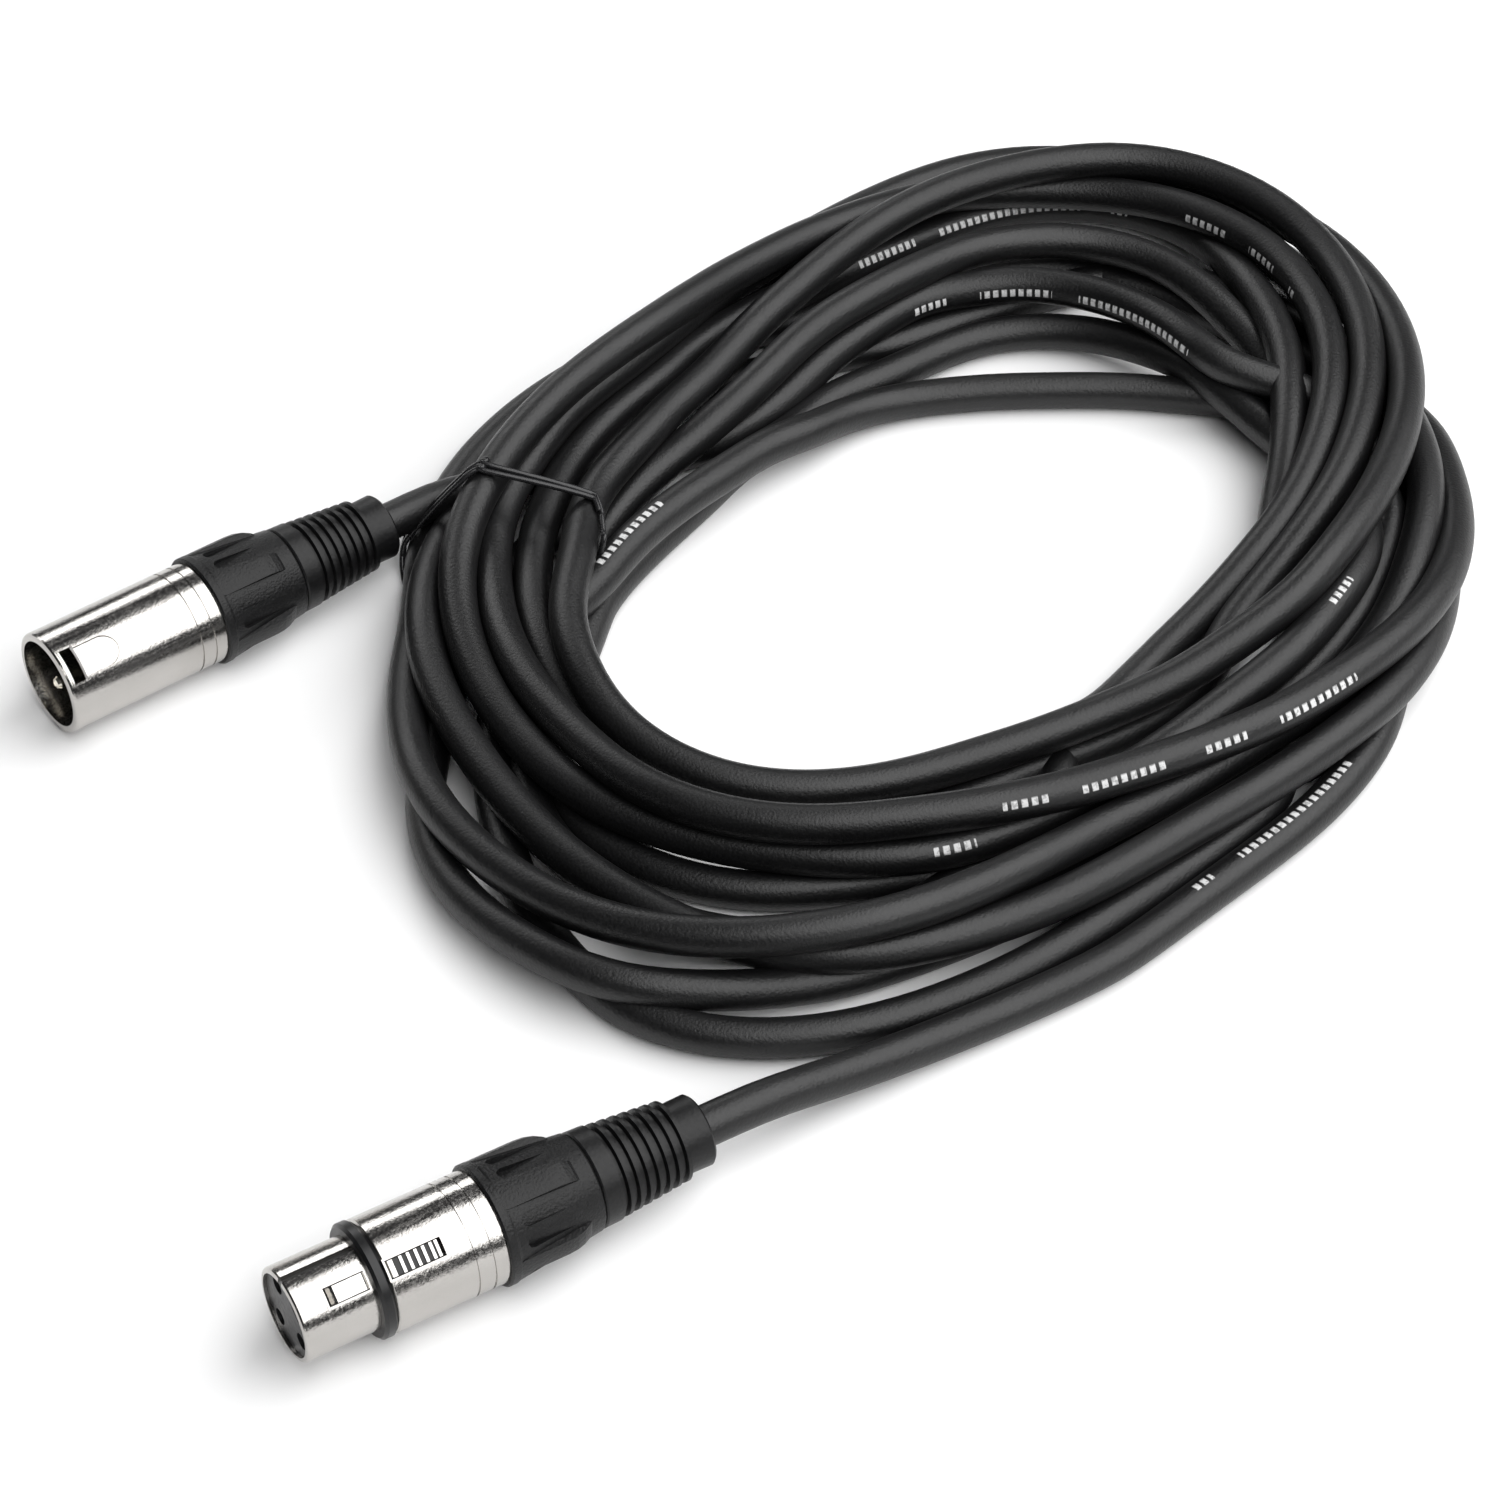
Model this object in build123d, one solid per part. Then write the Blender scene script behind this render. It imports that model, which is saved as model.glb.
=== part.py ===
from build123d import *
import math
import os

# Coiled three-pin balanced microphone cable, in millimetres.
# Row frame: +Z up, the floor is Z = 0, +X runs along the male plug from its mouth to the cable,
# and the origin is under the middle of the whole object.
#
# Plan coordinates: the lay of the coil is drawn in a plan whose x runs across the coil and whose
# y runs away from the plugs. plan() turns that plan so that the male plug lies along +X.
PLAN_TURN = 37.32
ORIGIN_X = 18.91
ORIGIN_Y = 11.22

CABLE_R = 3.5
CABLE_D = 2 * CABLE_R
FLOOR_Z = 3.6
AXIS_Z = 10.35

# Shells. Each plug's own frame: x = 0 at the mouth, +x to the cable, +z towards the latch.
BODY_R = 9.55
MALE_MOUTH_R = 8.2
SHELL_BORE_R = 7.35
INSERT_R = 7.25
MALE_SHELL_LEN = 31.3
FEMALE_SHELL_LEN = 34.3
TAIL_LEN = 8.0
TAIL_R = 8.1
RIM_ROUND = 0.55
GROOVE_W = 0.35
GROOVE_DEPTH = 0.22
FRAME_PROUD = 0.12
FRAME_W = 0.35

# Contacts: three on a circle, two beside the latch and one opposite.
CONTACT_CIRCLE_R = 4.75
CONTACT_ANGLES = (-75.0, 75.0, 180.0)
PIN_R = 1.2
PIN_TIP_X = 2.6
CONTACT_BODY_R = 1.5
CUP_R = 1.4
CUP_HOLE_R = 0.9
CUP_LEN = 4.5
CORE_R = 0.62
CORE_CIRCLE_R = 1.4
SLIDE_GAP = 0.03

# Male insert
MALE_FACE_X = 15.95
INSERT_END_X = 27.0
KEY_ANGLE = 42.0
KEY_W = 0.9

# Female barrel, ring and latch
BARREL_R = 7.95
BARREL_BORE_R = 7.05
RING_FRONT = 12.6
SHOULDER_X = 14.9
RING_R = 9.7
SOCKET_R = 1.75
SOCKET_BORE_R = 1.25
SOCKET_FACE_X = 2.2
SOCKET_DEPTH_X = 15.0
LATCH_HALF = 1.35
WINDOW_HALF = 1.55
PIVOT_X = 25.6
PIVOT_Z = 5.6
PIVOT_R = 0.5
HUB_R = 0.9
CHANNEL_HALF = 1.8
CHANNEL_FLOOR = 4.1
SPRING_X = 19.0
SPRING_R = 0.9
SPRING_WIRE_R = 0.16
SPRING_SEAT_Z = 1.95
PAD_BOTTOM = 5.7

# Bushing and boot, measured from the shell's end
BUSHING_LEN = 18.0
BUSHING_LIP_R = 10.3
BUSHING_END_R = 8.35
BUSHING_RIBS = 5
BUSHING_RIB_TOP = 10.25
BUSHING_BORE_R = 8.2
POCKET_FLOOR_R = 8.95
POCKET_SPREAD = 25.0
BOOT_LEN = 21.3
BOOT_RIBS = 7
BOOT_COLLAR_R = 6.1
JACKET_FRONT = 13.9

# Where the plugs lie on the plan: mouth, heading, and how far the latch leans from upright
MALE_MOUTH = (-123.4, 6.0)
MALE_HEADING = 37.32
MALE_LEAN = 38.5
MALE_RIB_LEAN = 31.5
FEMALE_MOUTH = (-71.2, -136.6)
FEMALE_HEADING = 31.19
FEMALE_LEAN = 39.0
FEMALE_RIB_LEAN = 23.5

# Coil: outline of the bundle on the plan, outside and inside
COIL_HEIGHT = 22.0
COIL_ROUND = 4.0
COIL_OUTSIDE = [
    (-66, 8), (-63, 34), (-47, 74), (-20, 112), (20, 147), (60, 165), (92, 162), (118, 138),
    (129, 102), (133, 60), (120, 14), (97, -22), (55, -58), (18, -75), (-8, -78), (-36, -62),
    (-58, -32),
]
COIL_INSIDE = [
    (-28, 12), (-23, 36), (-4, 61), (24, 81), (56, 89), (86, 87), (98, 66), (89, 33),
    (60, -2), (32, -17), (6, -22), (-19, -11),
]

# Tie: a loop of thin elastic cord round the bundle, on the plan
TIE_OUTER = (-62.5, 46)
TIE_INNER = (-21.5, 27)
TIE_THICK = 0.9
TIE_WIDE = 1.4
TIE_GAP = 0.4


def plan(x, y, z=0.0):
    """A point of the plan in the row frame."""
    c = math.cos(math.radians(PLAN_TURN))
    s = math.sin(math.radians(PLAN_TURN))
    return Vector(x * c + y * s - ORIGIN_X, y * c - x * s - ORIGIN_Y, z)


def rod(x0, x1, r):
    """A cylinder along the plug's axis."""
    return extrude(Plane.YZ.offset(x0) * Circle(r), x1 - x0)


def turned(points):
    """A closed outline of (x, radius) points turned about the plug's axis."""
    return revolve(make_face(Polyline([(x, r) for x, r in points], close=True)), Axis.X)


def radial(sketch, r0, r1, angle=0.0):
    """A footprint, x along the plug and y round it, pushed outwards from radius r0 to r1."""
    return Rot(X=angle) * extrude(Plane.XY.offset(r0) * sketch, r1 - r0)


def box_at(x0, x1, half, z0, z1):
    """A block in the plug's frame, from x0 to x1, as wide as 2 * half, from z0 to z1."""
    return Pos((x0 + x1) / 2, 0, (z0 + z1) / 2) * Box(x1 - x0, 2 * half, z1 - z0)


def on_circle(angle, r=CONTACT_CIRCLE_R):
    """The y and z of a point at an angle from the latch, on a circle about the plug's axis."""
    a = math.radians(angle)
    return -r * math.sin(a), r * math.cos(a)


def rect_x(x0, x1, half):
    """A rectangle on the footprint plane."""
    return Pos((x0 + x1) / 2, 0) * Rectangle(x1 - x0, 2 * half)


# ---------------------------------------------------------------- shells
def ring_grooves(shell, places):
    for x in places:
        shell -= rod(x, x + GROOVE_W, BODY_R + 1) - rod(x, x + GROOVE_W, BODY_R - GROOVE_DEPTH)
    return shell


def male_shell():
    """Open tube with a latch window, a thumb mark recess, a key rib and a threaded tail."""
    end = MALE_SHELL_LEN
    stop = MALE_FACE_X - 0.1
    body = turned([
        (0, MALE_MOUTH_R), (0, BODY_R - RIM_ROUND), (RIM_ROUND * 0.3, BODY_R - RIM_ROUND * 0.3),
        (RIM_ROUND, BODY_R), (end, BODY_R), (end, TAIL_R), (end + TAIL_LEN, TAIL_R),
        (end + TAIL_LEN, SHELL_BORE_R), (stop, SHELL_BORE_R), (stop, SHELL_BORE_R - 0.4),
        (stop - 0.6, SHELL_BORE_R - 0.4), (stop - 0.6, MALE_MOUTH_R),
    ])
    body = ring_grooves(body, (26.0, 28.7))
    window = rect_x(1.2, 3.9, 3.2)
    thumb = rect_x(3.9, 8.55, 2.85) + Pos(8.55, 0) * Circle(2.85)
    rim = rect_x(1.2 - FRAME_W, 3.9 + FRAME_W, 3.2 + FRAME_W)
    rim += rect_x(3.9, 8.55, 2.85 + FRAME_W) + Pos(8.55, 0) * Circle(2.85 + FRAME_W)
    skin = rod(RIM_ROUND, 20, BODY_R + FRAME_PROUD)
    body += (radial(rim, BODY_R - 0.6, BODY_R + 1) & skin)
    body -= radial(window, 5, BODY_R + 2)
    body -= radial(thumb, 5, BODY_R + 2) - rod(0, 20, BODY_R - 0.15)
    key = radial(rect_x(2.5, stop - 0.3, KEY_W / 2), MALE_MOUTH_R - 0.7, MALE_MOUTH_R + 0.4, KEY_ANGLE)
    return body + key


def female_shell():
    """Stepped barrel with the keyway, the tooth's window, the pad's window and a threaded tail."""
    end = FEMALE_SHELL_LEN
    body = turned([
        (0, BARREL_BORE_R), (0, BARREL_R - 0.45), (0.15, BARREL_R - 0.15), (0.45, BARREL_R),
        (SHOULDER_X, BARREL_R), (SHOULDER_X, BODY_R - 0.3), (SHOULDER_X + 0.3, BODY_R),
        (end, BODY_R), (end, TAIL_R), (end + TAIL_LEN, TAIL_R), (end + TAIL_LEN, SHELL_BORE_R),
        (16.4, SHELL_BORE_R), (16.4, BARREL_BORE_R),
    ])
    body = ring_grooves(body, (28.7, 31.6))
    tooth = (5.1, 12.0)
    pad = (15.25, 24.75)
    for x0, x1, r in (tooth + (BARREL_R,), pad + (BODY_R,)):
        rim = rect_x(x0 - FRAME_W, x1 + FRAME_W, WINDOW_HALF + FRAME_W)
        skin = rod(x0 - 2 * FRAME_W, x1 + 2 * FRAME_W, r + FRAME_PROUD)
        body += radial(rim, r - 0.5, r + 1) & skin & rod(0.5, end, BODY_R + FRAME_PROUD)
    body -= radial(rect_x(RING_FRONT, SHOULDER_X, 4.0), BARREL_R, BARREL_R + 4)
    body -= radial(rect_x(*tooth, WINDOW_HALF), 5, BARREL_R + 2)
    body -= radial(rect_x(*pad, WINDOW_HALF), 5, BODY_R + 2)
    body -= radial(rect_x(-1, RING_FRONT - 0.2, 0.55), 6.5, BARREL_R + 2, -KEY_ANGLE)
    return body


def female_ring():
    """Black rubber ring that seats against the shoulder."""
    w = SHOULDER_X - RING_FRONT
    soft = 0.5
    return turned([
        (RING_FRONT, BARREL_R + SLIDE_GAP), (RING_FRONT, RING_R - soft),
        (RING_FRONT + soft, RING_R), (RING_FRONT + w - soft - 0.05, RING_R),
        (RING_FRONT + w - 0.05, RING_R - soft), (RING_FRONT + w - 0.05, BARREL_R + SLIDE_GAP),
    ])


# ---------------------------------------------------------------- inserts and contacts
def male_insert():
    """Black disc that carries the three pins."""
    body = rod(MALE_FACE_X, INSERT_END_X, INSERT_R)
    for angle in CONTACT_ANGLES:
        y, z = on_circle(angle)
        body -= Pos(0, y, z) * rod(MALE_FACE_X - 1, INSERT_END_X + 1, CONTACT_BODY_R + SLIDE_GAP)
    return body


def solder_cup(x):
    """Rear end of a contact, open at the back for the core."""
    cup = rod(x - 0.1, x + CUP_LEN, CUP_R) - rod(x + 0.8, x + CUP_LEN + 1, CUP_HOLE_R)
    return cup - box_at(x + 1.8, x + CUP_LEN + 1, CUP_R + 1, 0, CUP_R + 1)


def male_pin(angle):
    """One contact pin with a rounded tip, its shank in the insert and its solder cup."""
    nose = 0.8
    pin = turned([
        (PIN_TIP_X, 0), (PIN_TIP_X, PIN_R - nose), (PIN_TIP_X + 0.25, PIN_R - 0.3),
        (PIN_TIP_X + nose, PIN_R), (MALE_FACE_X, PIN_R), (MALE_FACE_X, CONTACT_BODY_R),
        (INSERT_END_X, CONTACT_BODY_R), (INSERT_END_X, 0),
    ])
    y, z = on_circle(angle)
    return Pos(0, y, z) * (pin + solder_cup(INSERT_END_X))


def female_insert():
    """Black socket block with three holes, the latch's channel, its spring pocket and pin ears."""
    rear = INSERT_END_X + FEMALE_SHELL_LEN - MALE_SHELL_LEN
    body = rod(0.6, 16.2, BARREL_BORE_R - 0.06) + rod(16.5, rear, INSERT_R) + rod(16.1, 16.6, 6.9)
    body -= box_at(0, rear - 2.0, CHANNEL_HALF, CHANNEL_FLOOR, 9)
    body -= box_at(0, 4.6, 2.8, 5.7, 9)
    body -= Pos(SPRING_X, 0, SPRING_SEAT_Z) * extrude(Circle(SPRING_R + 0.35), 4)
    body -= Pos(PIVOT_X, 0, PIVOT_Z) * Rot(X=90) * Cylinder(PIVOT_R + SLIDE_GAP, 20)
    for angle in CONTACT_ANGLES:
        y, z = on_circle(angle)
        body -= Pos(0, y, z) * rod(0, rear + 1, SOCKET_BORE_R + 0.2)
        body -= Pos(0, y, z) * rod(SOCKET_FACE_X, rear + 1, SOCKET_R + SLIDE_GAP)
    return body


def female_socket(angle):
    """One tubular contact, open at the front for the pin, with its solder cup."""
    rear = INSERT_END_X + FEMALE_SHELL_LEN - MALE_SHELL_LEN
    tube = rod(SOCKET_FACE_X + SLIDE_GAP, rear, SOCKET_R) - rod(0, SOCKET_DEPTH_X, SOCKET_BORE_R)
    y, z = on_circle(angle)
    return Pos(0, y, z) * (tube + solder_cup(rear))


def female_latch():
    """Latch lever: hooked tooth in front, thin bridge under the ring, ribbed thumb pad, hub."""
    side = Polyline(
        [
            (5.6, 5.95), (5.6, 7.3), (6.5, 8.3), (8.9, 8.3), (9.2, 7.6), (11.7, 7.45), (11.7, 6.6),
            (15.7, 6.6), (15.7, 9.0), (24.2, 9.0), (24.2, 6.5), (PIVOT_X, PIVOT_Z + HUB_R),
            (PIVOT_X, PIVOT_Z - HUB_R), (24.0, PAD_BOTTOM - 0.6), (17.0, PAD_BOTTOM),
            (15.0, 5.95),
        ],
        close=True,
    )
    lever = extrude(Plane.XZ * make_face(side), LATCH_HALF, both=True)
    for i in range(5):
        lever += box_at(17.6 + 1.3 * i, 18.1 + 1.3 * i, LATCH_HALF, 8.9, 9.35)
    lever += box_at(15.7, 16.5, LATCH_HALF, 8.9, 9.35) + box_at(23.7, 24.2, LATCH_HALF, 8.9, 9.35)
    lever += Pos(PIVOT_X, 0, PIVOT_Z) * Rot(X=90) * Cylinder(HUB_R, 2 * LATCH_HALF)
    return lever - Pos(PIVOT_X, 0, PIVOT_Z) * Rot(X=90) * Cylinder(PIVOT_R + 0.05, 9)


def latch_pin():
    return Pos(PIVOT_X, 0, PIVOT_Z) * Rot(X=90) * Cylinder(PIVOT_R, 8.4)


def latch_spring():
    """Small compression spring between the insert's pocket and the pad."""
    top = PAD_BOTTOM - 0.25
    wire = SPRING_WIRE_R
    height = top - SPRING_SEAT_Z - 2 * wire - 0.1
    helix = Helix(pitch=height / 5, height=height, radius=SPRING_R)
    start = Plane(helix @ 0, z_dir=helix % 0)
    coil = sweep(start * Circle(wire), path=helix)
    return Pos(SPRING_X, 0, SPRING_SEAT_Z + wire + 0.02) * coil


# ---------------------------------------------------------------- strain relief
def chuck(shell_end):
    """Slit plastic collet: hollow round the cores, closing on the cable's jacket."""
    front = shell_end - 4.1
    tail = shell_end + TAIL_LEN
    grip = shell_end + JACKET_FRONT - 1.5
    body = turned([
        (front, SHELL_BORE_R - 0.1), (tail + 1.0, SHELL_BORE_R - 0.1), (grip + 0.6, 6.2),
        (shell_end + BUSHING_LEN - 1.3, 6.2), (shell_end + BUSHING_LEN - 1.3, CABLE_R + SLIDE_GAP),
        (grip + 1.4, CABLE_R + SLIDE_GAP), (tail + 1.0, 6.35), (front, 6.35),
    ])
    slit_from = tail - 2.0
    slit_to = shell_end + BUSHING_LEN
    slit = box_at(slit_from, slit_to, 0.4, -9, 9)
    return body - slit - Rot(X=90) * slit


def bushing(shell_end, rib_angle):
    """Screw bushing: lip at the shell, cone to the boot, five grip ribs and ten finger pockets."""
    e = shell_end + 0.05
    b = shell_end + BUSHING_LEN
    shape = turned([
        (e, 0), (e, BUSHING_LIP_R - 0.3), (e + 0.3, BUSHING_LIP_R), (e + 1.5, BUSHING_LIP_R),
        (e + 2.0, BUSHING_LIP_R - 0.2), (b - 0.4, BUSHING_END_R), (b, BUSHING_END_R - 0.4), (b, 0),
    ])
    bore = turned([
        (e - 1, 0), (e - 1, BUSHING_BORE_R), (e + TAIL_LEN + 0.8, BUSHING_BORE_R), (b - 4.5, 6.4),
        (b + 1, 6.4), (b + 1, 0),
    ])
    ribs = Pos(e + 8.4, 0) * SlotOverall(15.6, 3.6)
    pockets = Pos(e + 8.2, 0) * SlotOverall(9.6, 2.3)
    skin = turned([
        (e, 0), (e, BUSHING_RIB_TOP - 0.35), (e + 1.2, BUSHING_RIB_TOP), (e + 10.2, BUSHING_RIB_TOP),
        (e + 11.8, BUSHING_RIB_TOP - 0.12), (e + 13.2, BUSHING_RIB_TOP - 0.5),
        (e + 14.4, BUSHING_RIB_TOP - 1.1), (e + 15.4, BUSHING_RIB_TOP - 1.95), (e + 15.9, 7.8),
        (e + 15.9, 0),
    ])
    floor = rod(e, b, POCKET_FLOOR_R)
    for i in range(BUSHING_RIBS):
        at = rib_angle + i * 360 / BUSHING_RIBS
        for side in (-POCKET_SPREAD, POCKET_SPREAD):
            shape -= radial(pockets, 7, 12, at + side) - floor
        shape += radial(ribs, BUSHING_END_R - 1.2, 12, at) & skin
    return shape - bore


def boot(shell_end):
    """Ribbed rubber boot: plain band, tapering ribs, plain collar, and a neck in the bushing."""
    x0 = shell_end + BUSHING_LEN
    band = 3.6
    ribs_end = 16.6
    pitch = (ribs_end - band) / BOOT_RIBS
    bore = CABLE_R + SLIDE_GAP
    points = [(x0 - 1.1, bore), (x0 - 1.1, 6.3), (x0 + 0.1, 6.3), (x0 + 0.1, 8.0), (x0 + 0.4, 8.2)]
    points += [(x0 + band - 0.2, 8.1)]
    for i in range(BOOT_RIBS):
        x = x0 + band + i * pitch
        crest = 7.95 - 1.15 * (i + 0.5) / BOOT_RIBS
        points += [(x, crest - 0.75), (x + pitch * 0.35, crest - 0.75), (x + pitch * 0.5, crest)]
        points += [(x + pitch * 0.85, crest)]
    end = x0 + BOOT_LEN
    points += [(x0 + ribs_end, BOOT_COLLAR_R - 0.1), (end - 0.4, BOOT_COLLAR_R)]
    points += [(end, BOOT_COLLAR_R - 0.4), (end, bore)]
    return turned(points)


def core(shell_end, angle):
    """One insulated core from its solder cup to the stripped end of the jacket."""
    cup = shell_end - 4.3
    stops = [(cup + 1.2, CONTACT_CIRCLE_R), (cup + 6.4, CONTACT_CIRCLE_R)]
    stops += [(cup + 14.6, CORE_CIRCLE_R), (shell_end + JACKET_FRONT - 0.05, CORE_CIRCLE_R)]
    path = FilletPolyline([(x, *on_circle(angle, r)) for x, r in stops], radius=3.0)
    return sweep(Plane(path @ 0, z_dir=path % 0) * Circle(CORE_R), path=path)


# ---------------------------------------------------------------- cable
def plug_place(mouth, heading, lean):
    """Where a plug lies: its mouth on the plan, its heading, and the lean of its latch."""
    p = plan(*mouth, AXIS_Z)
    return Pos(p) * Rot(Z=heading - PLAN_TURN) * Rot(X=lean)


def along(mouth, heading, distance, z=AXIS_Z):
    """A point on a plug's axis, as plan x, y and height."""
    a = math.radians(heading)
    return (mouth[0] + distance * math.cos(a), mouth[1] + distance * math.sin(a), z)


def lead(points, name, plug, jacket_from, jacket_to):
    """A stretch of cable: straight runs joined by tangent arcs as large as the runs allow.

    Its straight end runs on through the boot to the stripped end of the jacket.
    """
    route = [plan(*p) for p in points]
    runs = [b - a for a, b in zip(route, route[1:])]
    radii = []
    for first, second in zip(runs, runs[1:]):
        turn = math.radians(first.get_angle(second))
        radii.append(0.45 * min(first.length, second.length) / math.tan(turn / 2))
    path = FilletPolyline(route, radius=radii)
    tube = sweep(Plane(path @ 0, z_dir=path % 0) * Circle(CABLE_R), path=path)
    section = math.pi * CABLE_R**2
    print(name, "radii", [round(r, 1) for r in radii], "runs", [round(r.length, 1) for r in runs])
    filled = tube.volume / (section * path.length)
    print(name, "length", round(path.length, 1), "volume over section times length", round(filled, 4))
    return tube + plug * rod(jacket_from, jacket_to, CABLE_R)


# Routes of the two uncoiled stretches, as plan x, y and height
MALE_BOOT_END = MALE_SHELL_LEN + BUSHING_LEN + BOOT_LEN
FEMALE_BOOT_END = FEMALE_SHELL_LEN + BUSHING_LEN + BOOT_LEN
MALE_ROUTE = [
    along(MALE_MOUTH, MALE_HEADING, MALE_BOOT_END),
    along(MALE_MOUTH, MALE_HEADING, MALE_BOOT_END + 13),
    (-45.8, 65.2, 6.4),
    (-34.9, 73.6, 4.2),
]
FEMALE_ROUTE = [
    along(FEMALE_MOUTH, FEMALE_HEADING, FEMALE_BOOT_END),
    along(FEMALE_MOUTH, FEMALE_HEADING, FEMALE_BOOT_END + 13),
    (14.5, -83.6, 6.6),
    (30, -73.8, 4.2),
    (46, -64.5, FLOOR_Z),
]


def cable_coil():
    """The wound bundle as one closed solid of its outer shape."""
    outside = make_face(Spline([plan(*p) for p in COIL_OUTSIDE], periodic=True))
    inside = make_face(Spline([plan(*p) for p in COIL_INSIDE], periodic=True))
    body = extrude(outside, COIL_HEIGHT)
    body = fillet(body.edges().group_by(Axis.Z)[-1], COIL_ROUND)
    return body - extrude(inside, COIL_HEIGHT)


def tie_block(grow, wide):
    """A flat block round the bundle where the tie crosses it, grown all round."""
    a = plan(*TIE_OUTER)
    b = plan(*TIE_INNER)
    across = b - a
    middle = (a + b) * 0.5
    angle = math.degrees(math.atan2(across.Y, across.X))
    size = across.length + 2 * grow
    tall = COIL_HEIGHT + TIE_THICK + 2 * TIE_GAP + 2 * grow
    block = Box(size, wide, tall)
    return Pos(middle.X, middle.Y, TIE_THICK - grow + tall / 2) * Rot(Z=angle) * block


def coil_tie():
    """Thin elastic loop round the bundle."""
    return tie_block(TIE_THICK, TIE_WIDE) - tie_block(0, TIE_WIDE + 1)


def tie_slot():
    """Room in the bundle's underside for the tie that passes below it."""
    slot = tie_block(TIE_THICK + 1, TIE_WIDE + 2 * TIE_GAP)
    return slot & Pos(0, 0, TIE_THICK + TIE_GAP - 25) * Box(900, 900, 50)


# ---------------------------------------------------------------- assembly
parts = {}
male = plug_place(MALE_MOUTH, MALE_HEADING, MALE_LEAN)
female = plug_place(FEMALE_MOUTH, FEMALE_HEADING, FEMALE_LEAN)
parts["male_shell"] = male * male_shell()
parts["male_insert"] = male * male_insert()
parts["female_shell"] = female * female_shell()
parts["female_insert"] = female * female_insert()
parts["female_ring"] = female * female_ring()
parts["female_latch"] = female * female_latch()
parts["latch_pin"] = female * latch_pin()
parts["latch_spring"] = female * latch_spring()
for number, contact_angle in enumerate(CONTACT_ANGLES, 1):
    parts[f"male_pin_{number}"] = male * male_pin(contact_angle)
    parts[f"female_socket_{number}"] = female * female_socket(contact_angle)
    parts[f"male_core_{number}"] = male * core(MALE_SHELL_LEN, contact_angle)
    parts[f"female_core_{number}"] = female * core(FEMALE_SHELL_LEN, contact_angle)
for side, place, shell_end, rib_lean, lean in (
    ("male", male, MALE_SHELL_LEN, MALE_RIB_LEAN, MALE_LEAN),
    ("female", female, FEMALE_SHELL_LEN, FEMALE_RIB_LEAN, FEMALE_LEAN),
):
    parts[f"{side}_chuck"] = place * chuck(shell_end)
    parts[f"{side}_bushing"] = place * bushing(shell_end, rib_lean - lean)
    parts[f"{side}_boot"] = place * boot(shell_end)
parts["male_lead"] = lead(
    MALE_ROUTE, "male_lead", male, MALE_SHELL_LEN + JACKET_FRONT, MALE_BOOT_END
)
parts["female_lead"] = lead(
    FEMALE_ROUTE, "female_lead", female, FEMALE_SHELL_LEN + JACKET_FRONT, FEMALE_BOOT_END
)
parts["cable_coil"] = cable_coil() - tie_slot()
parts["coil_tie"] = coil_tie()

os.makedirs("parts", exist_ok=True)
low = [1e9, 1e9, 1e9]
high = [-1e9, -1e9, -1e9]
for name, shape in parts.items():
    shape.label = name
    export_step(shape, f"parts/{name}.step")
    bounds = shape.bounding_box()
    low = [min(a, b) for a, b in zip(low, bounds.min)]
    high = [max(a, b) for a, b in zip(high, bounds.max)]
print("nodes", len(parts))
print("box", [round(v, 2) for v in low], [round(v, 2) for v in high])
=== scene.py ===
"""XLR cable coil: a microphone cable wound by hand and tied, with a plug at each end."""

from math import pi, radians

import bmesh
import bpy
import numpy as np
from bpy.props import (
    FloatProperty,
    FloatVectorProperty,
    IntProperty,
    PointerProperty,
)
from bpy.types import Operator, Panel, PropertyGroup
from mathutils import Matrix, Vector


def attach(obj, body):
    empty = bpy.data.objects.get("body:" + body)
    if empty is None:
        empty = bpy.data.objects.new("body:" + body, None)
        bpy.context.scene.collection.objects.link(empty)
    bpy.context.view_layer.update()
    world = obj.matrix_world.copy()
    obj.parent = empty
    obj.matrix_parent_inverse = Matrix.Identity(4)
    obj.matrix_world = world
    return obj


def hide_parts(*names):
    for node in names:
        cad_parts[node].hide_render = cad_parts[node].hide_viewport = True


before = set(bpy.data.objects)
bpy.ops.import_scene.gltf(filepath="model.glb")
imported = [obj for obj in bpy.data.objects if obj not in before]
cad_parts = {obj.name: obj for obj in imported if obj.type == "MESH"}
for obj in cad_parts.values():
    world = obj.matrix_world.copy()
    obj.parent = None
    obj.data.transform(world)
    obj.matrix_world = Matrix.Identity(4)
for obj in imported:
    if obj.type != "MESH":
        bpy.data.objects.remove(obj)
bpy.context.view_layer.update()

bl_info = {
    "name": "XLR Cable Coil",
    "version": (1, 0, 0),
    "blender": (4, 5, 0),
    "location": "View3D > Sidebar > Cable Coil",
    "description": "Lays a coiled cable between its two plugs, ties it and finishes each piece",
    "category": "Add Mesh",
}

MM = 0.001

# ---------------------------------------------------------------------------------------
# The cable's route: control points in metres
# ---------------------------------------------------------------------------------------

# From inside each boot down to the floor, up to where the lead joins the coil.
MALE_ROUTE = (
    (-0.0500, 0.0684, 0.01035),
    (-0.0428, 0.0684, 0.01035),
    (-0.0298, 0.0684, 0.01035),
    (-0.0158, 0.0684, 0.0064),
    (-0.0020, 0.0685, 0.0042),
)
FEMALE_ROUTE = (
    (-0.0923, -0.0838, 0.01035),
    (-0.0852, -0.0846, 0.01035),
    (-0.0723, -0.0860, 0.01035),
    (-0.0581, -0.0865, 0.0066),
    (-0.0398, -0.0881, 0.0042),
    (-0.0214, -0.0904, 0.0036),
)

# The coil's middle, in millimetres, and how far its zero angle is turned from +X.
COIL_MIDDLE = (34.6, 4.6)
COIL_ZERO = -37.32

# In degrees: where every turn starts, and the spacing of the settled points and of the table.
FIRST_ANGLE = 260
ANGLE_STEP = 5
TABLE_STEP = 10

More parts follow.
